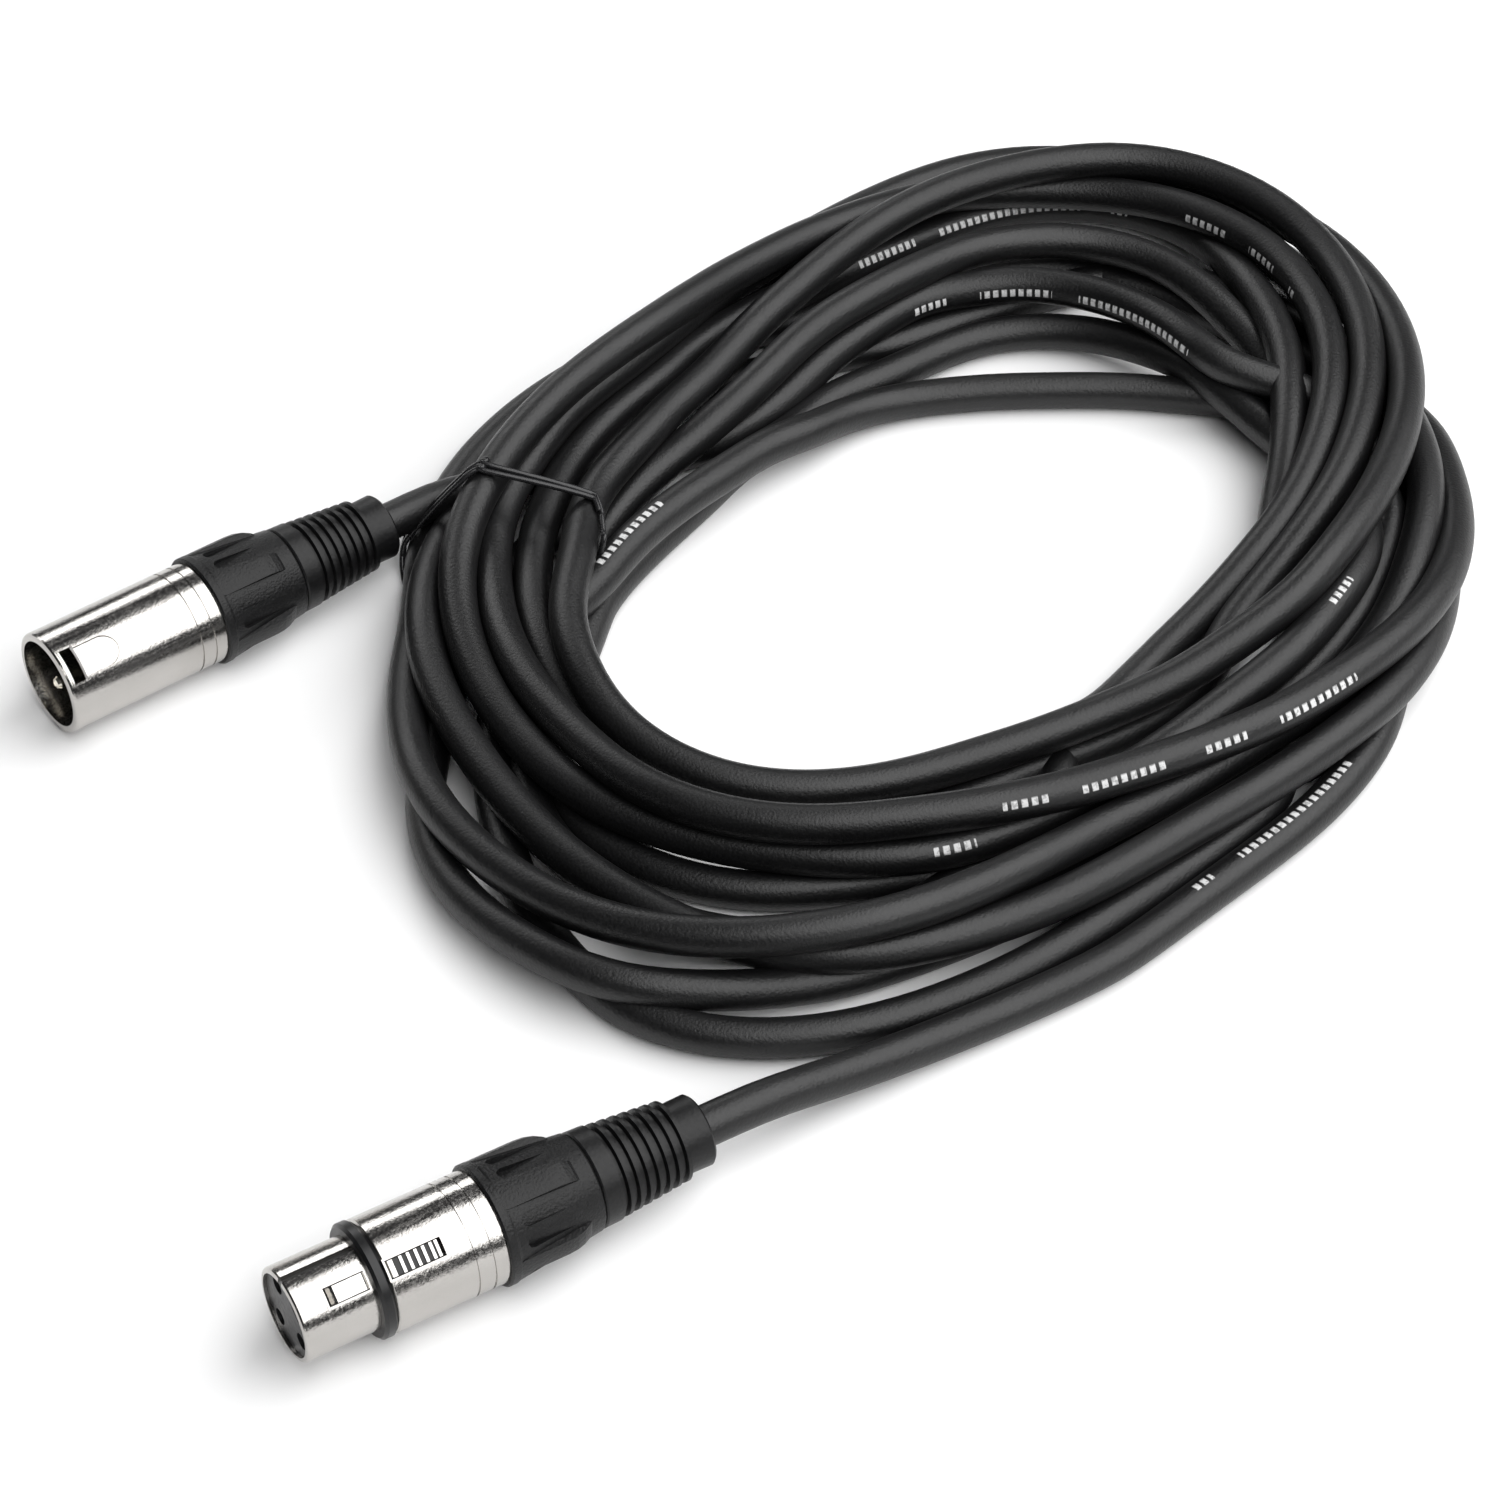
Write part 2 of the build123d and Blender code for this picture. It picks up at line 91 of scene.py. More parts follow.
# The first point kept of the first turn, and the first one left out of the last turn, where
# the leads take over.
FIRST_KEPT = 5
LAST_KEPT = 50

# Steps of the smooth curve between two control points of the route.
ROUTE_STEPS = 3

# Radius of each turn in millimetres every 10 degrees from 260, counted from the female plug.
TURN_RADII = (
    (133, 124, 113, 103, 97, 95, 93, 91, 88, 86, 85, 84, 83, 80, 77, 80, 82, 82,
     79, 73, 64, 56, 50, 48, 48, 51, 56, 63, 71, 79, 88, 102, 117, 124, 124, 120),
    (113, 101, 90, 84, 83, 83, 83, 83, 82, 80, 78, 77, 78, 81, 84, 92, 98, 98,
     93, 82, 73, 65, 58, 54, 53, 53, 55, 58, 61, 66, 71, 80, 92, 104, 112, 112),
    (104, 90, 75, 62, 54, 51, 50, 50, 52, 55, 60, 68, 77, 89, 102, 112, 117, 116,
     112, 105, 98, 90, 86, 83, 82, 82, 83, 84, 86, 87, 88, 89, 90, 90, 88, 85),
    (82, 80, 74, 70, 67, 66, 66, 68, 71, 75, 80, 81, 78, 76, 74, 72, 71, 67,
     62, 53, 48, 46, 44, 42, 41, 41, 43, 46, 51, 58, 67, 79, 91, 97, 98, 96),
    (88, 85, 80, 76, 73, 72, 72, 73, 76, 79, 83, 87, 85, 77, 66, 58, 51, 47,
     44, 42, 41, 40, 39, 40, 41, 42, 45, 49, 55, 61, 71, 83, 97, 112, 127, 131),
    (125, 114, 104, 95, 91, 87, 82, 75, 68, 64, 61, 65, 71, 79, 91, 101, 110, 112,
     104, 91, 82, 78, 74, 71, 69, 70, 70, 71, 72, 73, 75, 76, 80, 83, 82, 79),
    (75, 69, 62, 60, 60, 60, 60, 58, 57, 61, 66, 75, 85, 98, 111, 122, 129, 128,
     118, 104, 88, 77, 69, 63, 62, 61, 62, 64, 64, 66, 70, 71, 74, 74, 73, 69),
    (64, 59, 55, 54, 53, 54, 56, 58, 63, 68, 75, 84, 95, 107, 116, 123, 125, 125,
     121, 110, 97, 88, 83, 79, 77, 78, 78, 79, 80, 80, 81, 81, 81, 82, 81, 78),
    (73, 70, 68, 68, 68, 70, 74, 78, 84, 91, 96, 98, 98, 95, 90, 87, 89, 89,
     85, 78, 71, 69, 69, 70, 72, 74, 78, 84, 90, 93, 96, 97, 99, 103, 105, 109),
    (106, 100, 94, 88, 84, 84, 85, 88, 91, 93, 92, 91, 92, 100, 108, 114, 117, 115,
     108, 99, 90, 84, 80, 79, 79, 79, 80, 82, 86, 92, 99, 107, 112, 113, 113, 107),
    (98, 91, 83, 78, 76, 75, 76, 79, 82, 85, 89, 94, 98, 99, 97, 95, 90, 82,
     67, 59, 53, 53, 56, 60, 65, 69, 76, 87),
)

# Where each turn lies buried under others, from one angle to another: there it may slide
# sideways into the gaps of the bottom layer.
BURIED = (
    ((335, 392), (505, 573)),
    ((265, 393), (535, 615)),
    ((260, 305), (422, 460)),
    ((277, 307), (368, 397), (475, 510), (553, 580)),
    ((265, 322), (368, 388), (555, 597)),
    ((308, 363), (577, 615)),
    ((260, 277), (318, 327)),
    ((408, 436),),
    ((378, 403), (423, 534)),
    ((357, 547),),
    ((305, 343), (382, 523)),
)

# Which layer each turn starts in, as angle and layer: 0 lies on the floor.
LAYERS = (
    ((260, 0), (360, 0), (385, 0.4), (400, 1), (430, 1.3), (450, 0.9), (480, 0.3),
     (500, 0), (560, 0.2), (580, 1), (615, 1)),
    ((260, 0.3), (275, 0), (300, 0.4), (315, 1), (330, 0.3), (340, 0), (385, 0),
     (400, 1.2), (420, 1.4), (460, 1.2), (490, 1), (530, 1), (560, 0.3), (590, 0)),
    ((260, 0), (330, 0), (350, 1), (370, 2), (400, 1.7), (420, 1.3), (440, 1),
     (465, 0.8), (500, 1), (530, 1.6), (560, 1.8), (600, 1.3), (615, 1)),
    ((260, 0.8), (280, 0.5), (300, 0.6), (330, 1), (350, 1.2), (370, 1), (395, 1),
     (430, 0.3), (460, 0), (560, 0), (580, 0.5), (600, 1), (615, 1)),
    ((260, 0.6), (280, 0.2), (300, 0), (330, 0.4), (350, 1), (375, 1), (388, 0.3),
     (410, 0), (470, 0.6), (500, 1), (530, 0.8), (545, 0.5), (570, 0), (595, 0), (615, 0.3)),
    ((260, 0.5), (290, 0), (355, 0), (370, 1.4), (390, 1.6), (420, 1.9), (450, 1.3),
     (480, 1.1), (550, 1.3), (575, 0.6), (590, 0)),
    ((260, 0), (290, 0.2), (330, 0.4), (350, 1), (375, 2.1), (400, 2.2), (450, 2.4),
     (480, 1.6), (520, 1.3), (560, 1.6), (615, 1.3)),
    ((260, 1), (320, 1.2), (350, 1.6), (375, 2.3), (395, 2.1), (410, 1.2), (440, 1.4),
     (460, 1.7), (500, 1.5), (560, 1.7), (615, 1.5)),
    ((260, 1.4), (300, 1.8), (330, 2), (352, 2.2), (370, 0.9), (380, 0.4), (400, 0.3),
     (420, 0.8), (440, 0), (500, 0), (520, 0.6), (540, 1.4), (570, 1.6), (600, 1.2), (615, 0.8)),
    ((260, 0.8), (290, 1.3), (330, 1.5), (352, 0.9), (370, 0), (530, 0), (550, 0.8),
     (570, 1.3), (590, 2), (615, 2)),
    ((260, 1.8), (300, 1.2), (340, 1), (370, 1.3), (385, 1.2), (400, 0.4), (420, 0),
     (535, 0)),
)

# The tables hold what is sighted from this point, in millimetres from the coil's middle along
# and across its zero angle, on the level of the settings' middle height.
SIGHTED_FROM = (-33.0, -618.4, 543.4)

# The last turn leaves the coil at this angle and climbs to its plug, in millimetres a degree.
LEAD_ANGLE = 518
LEAD_CLIMB = 0.35

# How the turns settle. SINK is how far a turn drops in a round, in millimetres, PUSHES how
# often overlaps are pushed apart in it, and PUSH_SHARE the share of the overlap taken away each
# time. The pairs are for a turn in sight and a buried one: how freely it slides sideways, how
# much of the way back to its radius it goes, and how much of the way to its eased radius. The
# last three count how often the heights are eased in a round and, before the first one, how
# often the tables are eased and the turns sighted.
SINK = 0.12
PUSHES = 4
PUSH_SHARE = 0.7
SLIDE = (0.08, 1.0)
DRAW_BACK = (0.35, 0.05)
EASE = (0.25, 0.65)
HEIGHT_EASINGS = 3
TABLE_EASINGS = 2
FIRST_LEANINGS = 4

# Where the printed line shows: turn, first and last angle, and where round the jacket it
# lies there, in degrees from the top towards the coil's middle. Elsewhere there is none.
PRINTED = (
    (9, 277, 331, -55, -55),
    (1, 293, 321, 5, 5),
    (4, 266, 276, -47, -47),
    (4, 334, 345, -15, -15),
    (6, 426, 460, 62, 50),
    (1, 401, 452, 80, 80),
    (3, 400, 420, 80, 80),
    (5, 531, 556, 0, -5),
)

# Marks a point of the route that is on a lead, where no line is printed.
OFF_COIL = 9999.0

# The printed dashes, in metres: half the line's width where it starts and ends fading, the
# length of a dash with its gap and the part of it where the ink ends, the length after which
# the groups repeat, and the parts of it where ink stops (0) and starts again (1).
LINE_FADE = (0.00068, 0.00086)
DASH_LENGTH = 0.0018
DASH_END = (0.56, 0.66)
GROUPS_LENGTH = 0.0777
GROUP_STEPS = ((0.30, 0.0), (0.39, 1.0), (0.50, 0.0), (0.59, 1.0), (0.79, 0.0), (0.87, 1.0))

# Where the tie runs round the strands: direction in the loop's own plane, from outward over
# the top, and the coil angle that it has there.
TIE_ANGLES = ((-90, 184), (0, 177), (90, 174), (150, 180), (180, 184), (215, 190), (270, 184))

# Between which directions the tie is doubled, and which turns pass outside it.
TIE_DOUBLED = (-50, 135)
UNTIED_TURNS = (4, 5)

# Degrees between the tie's points, its faces round, how often its distance is eased, and its
# clearance from the strands in metres.
TIE_STEP = 2.0
TIE_SIDES = 12
TIE_EASINGS = 3
TIE_CLEARANCE = 0.0002

# The female plug: the middle of its mouth in metres, its heading from +X, how far its latch
# leans from upright, and where its ribbed thumb pad starts and how high its grooves lie above
# the plug's axis.
FEMALE_MOUTH = (-0.15835, -0.07667, 0.01035)
FEMALE_HEADING = -6.13
LATCH_LEAN = 39.0
PAD_START = 0.0162
PAD_GROOVES = 0.0091

# Finishes from the Skin Grain group: name, colour or the setting that holds it, grains per
# metre, how far the colour varies, least and most roughness, the bump's strength and its depth
# in metres, and the specular level.
SKINS = (
    ("Bushing Plastic", "moulding", 2200.0, 0.5, 0.36, 0.5, 0.5, 0.0002, 0.3),
    ("Boot Rubber", "rubber", 1500.0, 0.35, 0.36, 0.5, 0.2, 0.0002, 0.32),
    ("Chuck Plastic", (0.06, 0.06, 0.06), 900.0, 0.3, 0.4, 0.5, 0.2, 0.0002, 0.5),
    ("Black Insert", (0.012, 0.012, 0.013), 1200.0, 0.3, 0.32, 0.45, 0.3, 0.0002, 0.5),
    ("Ring Rubber", (0.005, 0.005, 0.0055), 900.0, 0.3, 0.3, 0.42, 0.1, 0.0001, 0.4),
    ("Core Red", (0.5, 0.03, 0.03), 900.0, 0.2, 0.35, 0.45, 0.1, 0.0001, 0.5),
    ("Core White", (0.75, 0.75, 0.73), 900.0, 0.1, 0.35, 0.45, 0.1, 0.0001, 0.5),
    ("Tie Cord", (0.012, 0.012, 0.013), 2500.0, 0.3, 0.2, 0.32, 0.1, 0.0001, 0.5),
)

# Finishes from the Plated Metal group: name, colour or its setting, peel per metre, least and
# most roughness, and the bump's strength and depth.
METALS = (
    ("Nickel Shell", "nickel", 2400.0, 0.13, 0.27, 0.22, 0.0001),
    ("Contact Metal", (0.8, 0.76, 0.66), 1200.0, 0.15, 0.25, 0.1, 0.0001),
    ("Spring Steel", (0.62, 0.62, 0.63), 1200.0, 0.2, 0.3, 0.1, 0.0001),
    ("Core Screen", (0.7, 0.42, 0.24), 2500.0, 0.3, 0.4, 0.3, 0.0002),
)
LATCH_COLOUR = (0.66, 0.65, 0.63)
# Painted shade: the dark colour put into the grooves of the latch's ribbed thumb pad.
GROOVE_SHADE_COLOUR = (0.03, 0.03, 0.03)

# Which finish each piece of the frame has: the longest of these words in its name decides.
PIECE_FINISHES = {
    "shell": "Nickel Shell", "insert": "Black Insert", "pin_": "Contact Metal",
    "socket_": "Contact Metal", "core_1": "Core Red", "core_2": "Core White",
    "core_3": "Core Screen", "chuck": "Chuck Plastic", "bushing": "Bushing Plastic",
    "boot": "Boot Rubber", "latch_pin": "Spring Steel", "latch_spring": "Spring Steel",
    "female_latch": "Latch Metal", "ring": "Ring Rubber", "coil_tie": "Tie Cord",
    "lead": "Cable Jacket", "cable_coil": "Cable Jacket",
}

# The stage, in metres: place and sides of the two softboxes, the back one's share of the key
# power, and where the camera stands and what it aims at.
KEY_PLACE, KEY_SIZE = (0.45, -0.60, 1.12), (3.0, 1.75)
BACK_PLACE, BACK_SIZE, BACK_SHARE = (0.2, 1.5, 0.9), (1.4, 0.5), 0.16
CAMERA_PLACE = (-0.36654, -0.46723, 0.5434)
CAMERA_AIM = (-0.01891, -0.01122, 0.0)

# ---------------------------------------------------------------------------------------
# Settings
# ---------------------------------------------------------------------------------------


class CoilCableSettings(PropertyGroup):
    """Sizes of the cable and of the way its turns settle."""

    diameter: FloatProperty(
        name="Cable Diameter", description="Outer diameter of the jacket",
        default=0.007, min=0.002, unit="LENGTH",
    )
    length: FloatProperty(
        name="Cable Length", description="Length from one boot to the other",
        default=5.87, min=0.5, unit="LENGTH",
    )
    sides: IntProperty(
        name="Sides", description="Faces round the jacket", default=18, min=6,
    )
    layer_height: FloatProperty(
        name="Layer Height", description="Height from one layer of turns to the next",
        default=0.0062, unit="LENGTH",
    )
    middle_height: FloatProperty(
        name="Middle Height", description="Height at which a turn has its radius in the table",
        default=0.009, unit="LENGTH",
    )
    settle_rounds: IntProperty(
        name="Settling Rounds",
        description="Rounds of dropping, pushing apart and easing the turns",
        default=600, min=50,
    )


class CoilTieSettings(PropertyGroup):
    """Sizes of the tie."""

    thickness: FloatProperty(
        name="Tie Thickness", description="Diameter of the tie's cord",
        default=0.0011, min=0.0004, unit="LENGTH",
    )
    spacing: FloatProperty(
        name="Tie Spacing", description="Distance between the tie's two strands",
        default=0.0016, min=0.0, unit="LENGTH",
    )


class CoilFinishSettings(PropertyGroup):
    """Colours of the materials."""

    jacket: FloatVectorProperty(
        name="Jacket", description="Colour of the cable's jacket", subtype="COLOR",
        default=(0.0035, 0.0035, 0.0038), min=0, max=1,
    )
    moulding: FloatVectorProperty(
        name="Moulding", description="Colour of the black plastic", subtype="COLOR",
        default=(0.005, 0.005, 0.0053), min=0, max=1,
    )
    rubber: FloatVectorProperty(
        name="Rubber", description="Colour of the boots", subtype="COLOR",
        default=(0.0035, 0.0035, 0.0038), min=0, max=1,
    )
    nickel: FloatVectorProperty(
        name="Nickel", description="Colour of the plated shells", subtype="COLOR",
        default=(0.50, 0.485, 0.465), min=0, max=1,
    )
    print_ink: FloatVectorProperty(
        name="Printed Marks", description="Colour of the dashes on the jacket", subtype="COLOR",
        default=(0.62, 0.62, 0.62), min=0, max=1,
    )


class CoilStageSettings(PropertyGroup):
    """The floor, the lights and the camera."""

    floor_size: FloatProperty(
        name="Floor Size", description="Side of the floor", default=6.0, unit="LENGTH",
    )
    key_power: FloatProperty(
        name="Key Power", description="Power of the overhead softbox in watts", default=52.0,
    )
    surroundings: FloatProperty(
        name="Surroundings", description="Brightness of the room round the stage", default=0.04,
    )
    lens: FloatProperty(
        name="Lens", description="Focal length in millimetres on a 36 mm sensor",
        default=107.41,
    )


# ---------------------------------------------------------------------------------------
# Node helpers
# ---------------------------------------------------------------------------------------


def add_node(tree, kind, inputs=None, **values):
    """A node of that kind, with its properties set by name and its sockets by name or number."""
    node = tree.nodes.new(kind)
    for key, value in values.items():
        setattr(node, key, value)
    for key, value in (inputs or {}).items():
        if isinstance(value, bpy.types.NodeSocket):
            tree.links.new(value, node.inputs[key])
        else:
            node.inputs[key].default_value = value
    return node


def math_node(tree, operation, *operands, clamp=False):
    """The output of a Math node over sockets or numbers."""
    node = add_node(tree, "ShaderNodeMath", dict(enumerate(operands)), operation=operation)
    node.use_clamp = clamp
    return node.outputs[0]


def map_range(tree, value, low, high, to_low=0.0, to_high=1.0, smooth=False):
    """value carried from low..high to to_low..to_high, clamped."""
    node = add_node(tree, "ShaderNodeMapRange",
                    {"Value": value, "From Min": low, "From Max": high,
                     "To Min": to_low, "To Max": to_high})
    if smooth:
        node.interpolation_type = "SMOOTHSTEP"
    return node.outputs["Result"]


def mix_colour(tree, factor, first, second):
    """first turned into second by factor."""
    node = tree.nodes.new("ShaderNodeMix")
    node.data_type = "RGBA"
    for number, value in ((0, factor), (6, first), (7, second)):
        socket = node.inputs[number]
        if isinstance(value, bpy.types.NodeSocket):
            tree.links.new(value, socket)
        elif hasattr(value, "__len__"):
            socket.default_value = (*value[:3], 1.0)
        else:
            socket.default_value = value
    return node.outputs[2]


def new_group(name, inputs, outputs):
    """An empty shader group with those sockets, as (tree, its input node, its output node)."""
    tree = bpy.data.node_groups.new(name, "ShaderNodeTree")
    kinds = {"float": "NodeSocketFloat", "colour": "NodeSocketColor",
             "vector": "NodeSocketVector"}
    for label, kind, default in inputs:
        socket = tree.interface.new_socket(name=label, in_out="INPUT", socket_type=kinds[kind])
        if default is not None:
            socket.default_value = (*default, 1.0) if kind == "colour" else default
    for label, kind in outputs:
        tree.interface.new_socket(name=label, in_out="OUTPUT", socket_type=kinds[kind])
    return tree, tree.nodes.new("NodeGroupInput"), tree.nodes.new("NodeGroupOutput")


def between_roughnesses(tree, given, part):
    """The group's lower roughness plus that part of the way to its higher one."""
    low, high = given.outputs["Roughness Low"], given.outputs["Roughness High"]
    return math_node(tree, "MULTIPLY_ADD", part, math_node(tree, "SUBTRACT", high, low), low)


def group_skin_grain():
    """Moulded skin. Colour is the base darkened and lightened by two noises, Roughness runs
    between its two limits with the finer noise, and Height is fine noise plus small pits."""
    tree, given, made = new_group(
        "Skin Grain",
        (("Vector", "vector", None), ("Colour", "colour", (0.02, 0.02, 0.02)),
         ("Grain Scale", "float", 900.0), ("Variation", "float", 0.35),
         ("Roughness Low", "float", 0.45), ("Roughness High", "float", 0.6)),
        (("Color", "colour"), ("Roughness", "float"), ("Height", "float")),
    )
    fine = add_node(tree, "ShaderNodeTexNoise",
                    {"Vector": given.outputs["Vector"], "Scale": given.outputs["Grain Scale"],
                     "Detail": 3.0, "Roughness": 0.6})
    broad = add_node(tree, "ShaderNodeTexNoise",
                     {"Vector": given.outputs["Vector"], "Scale": 45.0, "Detail": 4.0})
    pits = add_node(tree, "ShaderNodeTexVoronoi",
                    {"Vector": given.outputs["Vector"], "Scale": given.outputs["Grain Scale"]})
    tone = math_node(tree, "ADD", map_range(tree, fine.outputs[0], 0.3, 0.7, -0.6, 0.6),
                     map_range(tree, broad.outputs[0], 0.3, 0.7, -0.4, 0.4))
    gain = math_node(tree, "MULTIPLY_ADD", tone, given.outputs["Variation"], 1.0)
    tint = add_node(tree, "ShaderNodeVectorMath",
                    {0: given.outputs["Colour"], 3: gain}, operation="SCALE")
    tree.links.new(tint.outputs[0], made.inputs["Color"])
    both = math_node(tree, "ADD", math_node(tree, "MULTIPLY", fine.outputs[0], 0.6),
                     math_node(tree, "MULTIPLY", broad.outputs[0], 0.4))
    rough = between_roughnesses(tree, given, map_range(tree, both, 0.35, 0.65))
    tree.links.new(rough, made.inputs["Roughness"])
    height = math_node(tree, "MULTIPLY_ADD", pits.outputs["Distance"], 0.5, fine.outputs[0])
    tree.links.new(height, made.inputs["Height"])
    return tree


def group_plating():
    """Plated metal. Colour is the base warmed and dulled in broad patches, Roughness rises in
    fine specks, and Height is a pebbled orange peel with faint lines along the part."""
    tree, given, made = new_group(
        "Plated Metal",
        (("Vector", "vector", None), ("Colour", "colour", (0.8, 0.8, 0.8)),
         ("Peel Scale", "float", 700.0), ("Roughness Low", "float", 0.16),
         ("Roughness High", "float", 0.3)),
        (("Color", "colour"), ("Roughness", "float"), ("Height", "float")),
    )
    peel = add_node(tree, "ShaderNodeTexNoise",
                    {"Vector": given.outputs["Vector"], "Scale": given.outputs["Peel Scale"],
                     "Detail": 2.0, "Roughness": 0.5})
    broad = add_node(tree, "ShaderNodeTexNoise",
                     {"Vector": given.outputs["Vector"], "Scale": 60.0, "Detail": 4.0})
    along = add_node(tree, "ShaderNodeMapping", {"Vector": given.outputs["Vector"],
                                                 "Scale": (60.0, 1500.0, 1500.0)})
    lines = add_node(tree, "ShaderNodeTexNoise",
                     {"Vector": along.outputs[0], "Scale": 1.0, "Detail": 2.0})
    dull = map_range(tree, broad.outputs[0], 0.35, 0.75)
    tint = mix_colour(tree, math_node(tree, "MULTIPLY", dull, 0.35), given.outputs["Colour"],
                      (0.30, 0.28, 0.26))
    tree.links.new(tint, made.inputs["Color"])
    both = math_node(tree, "ADD", math_node(tree, "MULTIPLY", peel.outputs[0], 0.6),
                     math_node(tree, "MULTIPLY", lines.outputs[0], 0.4))
    rough = between_roughnesses(tree, given, map_range(tree, both, 0.4, 0.62))
    tree.links.new(rough, made.inputs["Roughness"])
    tree.links.new(math_node(tree, "MULTIPLY_ADD", lines.outputs[0], 0.25, peel.outputs[0]),
                   made.inputs["Height"])
    return tree


def principled(name):
    """A material with an empty Principled shader, as (material, tree, shader)."""
    material = bpy.data.materials.new(name)
    material.use_nodes = True
    tree = material.node_tree
    tree.nodes.clear()
    shader = tree.nodes.new("ShaderNodeBsdfPrincipled")
    output = tree.nodes.new("ShaderNodeOutputMaterial")
    tree.links.new(shader.outputs[0], output.inputs[0])
    return material, tree, shader


def object_coordinates(tree):
    """The Object output of a Texture Coordinate node."""
    return tree.nodes.new("ShaderNodeTexCoord").outputs["Object"]


def use_group(tree, group, inputs):
    """A group node of that group with its sockets set."""
    node = tree.nodes.new("ShaderNodeGroup")
    node.node_tree = group
    for key, value in inputs.items():
        if isinstance(value, bpy.types.NodeSocket):
            tree.links.new(value, node.inputs[key])
        elif hasattr(value, "__len__"):
            node.inputs[key].default_value = (*value[:3], 1.0)
        else:
            node.inputs[key].default_value = value
    return node


def bump(tree, shader, height, strength, distance):
    """Height through a Bump node into the shader's Normal."""
    node = add_node(tree, "ShaderNodeBump",
                    {"Height": height, "Strength": strength, "Distance": distance})
    tree.links.new(node.outputs[0], shader.inputs["Normal"])


def skin_material(name, group, colour, scale, variation, low, high, strength, distance,
                  specular):
    """Black plastic or rubber from the Skin Grain group."""
    material, tree, shader = principled(name)
    grain = use_group(tree, group, {
        "Vector": object_coordinates(tree), "Colour": colour, "Grain Scale": scale,
        "Variation": variation, "Roughness Low": low, "Roughness High": high})
    tree.links.new(grain.outputs["Color"], shader.inputs["Base Color"])
    tree.links.new(grain.outputs["Roughness"], shader.inputs["Roughness"])
    shader.inputs["Specular IOR Level"].default_value = specular
    bump(tree, shader, grain.outputs["Height"], strength, distance)
    return material


def latch_material(name, group, colour):
    """Bright plated metal with painted shade in the grooves between the pad's ribs: a point of
    the pad is painted dark while its height above the plug's axis, towards the latch, is
    under the ribs'."""
    material = metal_material(name, group, colour, 2400.0, 0.08, 0.18, 0.1, 0.0001)
    tree = material.node_tree
    shader = next(node for node in tree.nodes if node.type == "BSDF_PRINCIPLED")
    heading, lean = radians(FEMALE_HEADING), radians(LATCH_LEAN)
    ahead = Vector((np.cos(heading), np.sin(heading), 0.0))
    towards = Vector((np.sin(lean) * np.sin(heading), -np.sin(lean) * np.cos(heading),
                      np.cos(lean)))
    mouth = Vector(FEMALE_MOUTH)

    def measured(direction, above):
        """Distance of the point beyond a plane across that direction."""
        along = add_node(tree, "ShaderNodeVectorMath",
                         {0: object_coordinates(tree), 1: direction}, operation="DOT_PRODUCT")
        level = mouth.dot(direction) + above
        return math_node(tree, "SUBTRACT", along.outputs["Value"], level)

    low = map_range(tree, measured(towards, PAD_GROOVES), -0.00003, 0.00008, 1.0, 0.0)
    on_pad = map_range(tree, measured(ahead, PAD_START), 0.0, 0.0001)
    # Painted shade in the grooves: the pad turns dark where it lies no higher than its grooves.
    groove_shade = math_node(tree, "MULTIPLY", low, on_pad)
    plain = shader.inputs["Base Color"].links[0].from_socket
    tree.links.new(mix_colour(tree, groove_shade, plain, GROOVE_SHADE_COLOUR), shader.inputs["Base Color"])
    return material


def jacket_material(name, group, colour, ink):
    """Matt black jacket with a line of plain printed dashes. The map's first number is the
    distance from the line and its second the distance run: a dash is ink while a saw-tooth
    of the run is under three fifths, within groups spaced along the cable, and wears thin
    with fine noise."""
    material, tree, shader = principled(name)
    grain = use_group(tree, group, {
        "Vector": object_coordinates(tree), "Colour": colour, "Grain Scale": 1900.0,
        "Variation": 0.5, "Roughness Low": 0.37, "Roughness High": 0.5})
    place = add_node(tree, "ShaderNodeSeparateXYZ",
                     {0: add_node(tree, "ShaderNodeUVMap", uv_map="UVMap").outputs[0]})
    near = map_range(tree, place.outputs[0], *LINE_FADE, 1.0, 0.0)
    dash = math_node(tree, "FRACT", math_node(tree, "DIVIDE", place.outputs[1], DASH_LENGTH))
    dash = map_range(tree, dash, *DASH_END, 1.0, 0.0)
    part = math_node(tree, "FRACT", math_node(tree, "DIVIDE", place.outputs[1], GROUPS_LENGTH))
    groups = add_node(tree, "ShaderNodeValToRGB", {"Fac": part})
    ramp = groups.color_ramp
    ramp.interpolation = "CONSTANT"
    for at, shade in GROUP_STEPS:
        ramp.elements.new(at).color = (shade, shade, shade, 1.0)
    ramp.elements[0].color = (1.0, 1.0, 1.0, 1.0)
    ramp.elements[-1].color = (0.0, 0.0, 0.0, 1.0)
    worn = add_node(tree, "ShaderNodeTexNoise",
                    {"Vector": object_coordinates(tree), "Scale": 1500.0, "Detail": 2.0})
    worn = map_range(tree, worn.outputs[0], 0.35, 0.5, 0.55, 1.0)
    mask = math_node(tree, "MULTIPLY", math_node(tree, "MULTIPLY", near, dash),
                     math_node(tree, "MULTIPLY", groups.outputs[0], worn))
    marked = mix_colour(tree, mask, grain.outputs["Color"], ink)
    tree.links.new(marked, shader.inputs["Base Color"])
    tree.links.new(grain.outputs["Roughness"], shader.inputs["Roughness"])
    shader.inputs["Specular IOR Level"].default_value = 0.5
    bump(tree, shader, grain.outputs["Height"], 0.3, 0.0002)
    return material


def metal_material(name, group, colour, scale, low, high, strength, distance):
    """Plated metal from the Plated Metal group."""
    material, tree, shader = principled(name)
    plating = use_group(tree, group, {
        "Vector": object_coordinates(tree), "Colour": colour, "Peel Scale": scale,
        "Roughness Low": low, "Roughness High": high})
    tree.links.new(plating.outputs["Color"], shader.inputs["Base Color"])
    tree.links.new(plating.outputs["Roughness"], shader.inputs["Roughness"])
    shader.inputs["Metallic"].default_value = 1.0
    bump(tree, shader, plating.outputs["Height"], strength, distance)
    return material


def paint(piece, material):
    """The piece's only material."""
    piece.data.materials.clear()
    piece.data.materials.append(material)


# ---------------------------------------------------------------------------------------
# Mesh helpers
# ---------------------------------------------------------------------------------------


